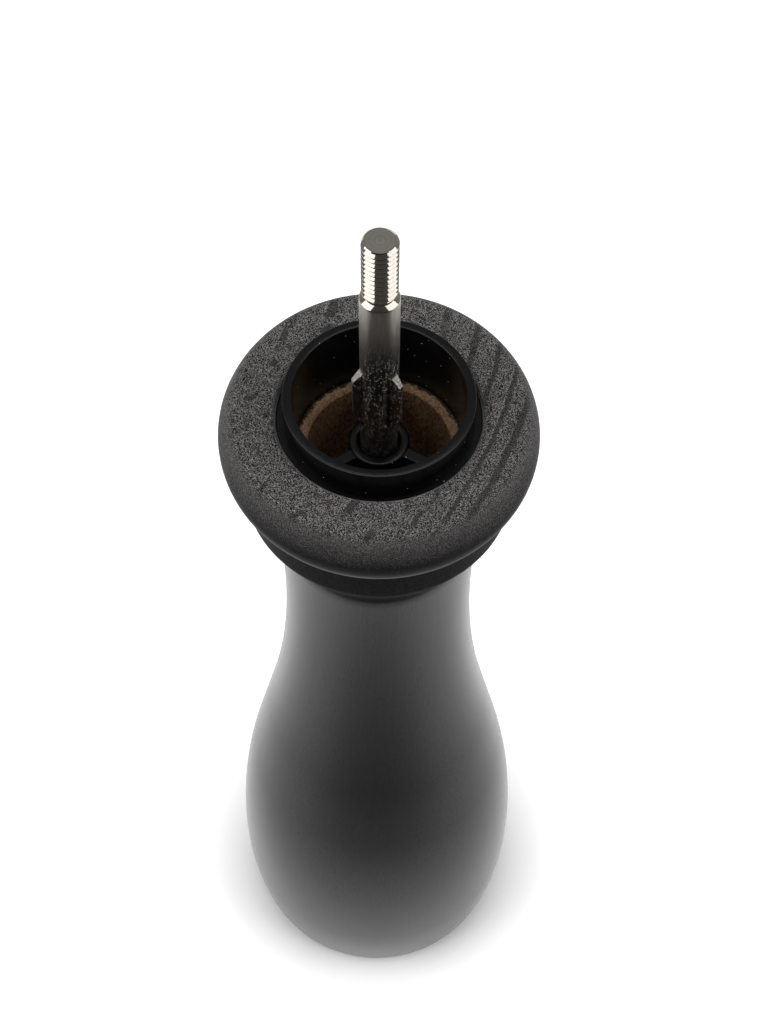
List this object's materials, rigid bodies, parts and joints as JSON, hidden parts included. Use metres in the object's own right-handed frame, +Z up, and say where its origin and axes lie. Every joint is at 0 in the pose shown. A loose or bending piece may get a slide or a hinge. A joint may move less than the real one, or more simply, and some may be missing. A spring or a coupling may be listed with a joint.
{
  "type": "pepper mill",
  "caption": "Tall black-stained wooden pepper mill with its turning top off: guide collar, winged drive shaft with threaded tip, and a sprung grinding cone and ring in the base.",
  "frame": {"origin": "middle of the flat base, on the axis of the drive shaft", "axes": "+Z up along the drive shaft, -Y towards the viewer of the picture, +X to the viewer's right"},
  "size_m": [0.0578, 0.0578, 0.2145],
  "materials": {
    "stained_wood": "black stain under a thin satin lacquer",
    "black_plastic": "moulded, fine satin",
    "shaft_steel": "drawn stainless rod, swaged and threaded",
    "cage_plastic": "moulded nylon",
    "grinder_steel": "case-hardened steel",
    "zinc_steel": "zinc-plated steel",
    "spring_steel": "spring steel wire",
    "bush_brass": "turned brass"
  },
  "bodies": {
    "mill_body": {"wooden_body": "stained_wood", "guide_collar": "black_plastic", "mechanism_cage": "cage_plastic", "grinding_ring": "grinder_steel", "spring_seat_washer": "zinc_steel", "compression_spring": "spring_steel", "lower_bridge": "zinc_steel", "bearing_bush": "bush_brass", "bridge_screws": "zinc_steel", "cage_screws": "zinc_steel"},
    "lift_washer": {"thrust_washer": "zinc_steel"},
    "spindle": {"drive_shaft": "shaft_steel", "grinding_cone": "grinder_steel", "retaining_clip": "spring_steel"}
  },
  "joints": [
    {"name": "grind_lift", "type": "slide", "parent": "mill_body", "child": "lift_washer", "axis": [0, 0, 1], "range_m": [0, 0.0015], "stiffness_N_per_m": 1200, "springref_m": -0.006, "deforming": ["compression_spring"]},
    {"name": "shaft_spin", "type": "hinge", "parent": "lift_washer", "child": "spindle", "pos_m": [0, 0, 0.1], "axis": [0, 0, 1], "continuous": true}
  ]
}
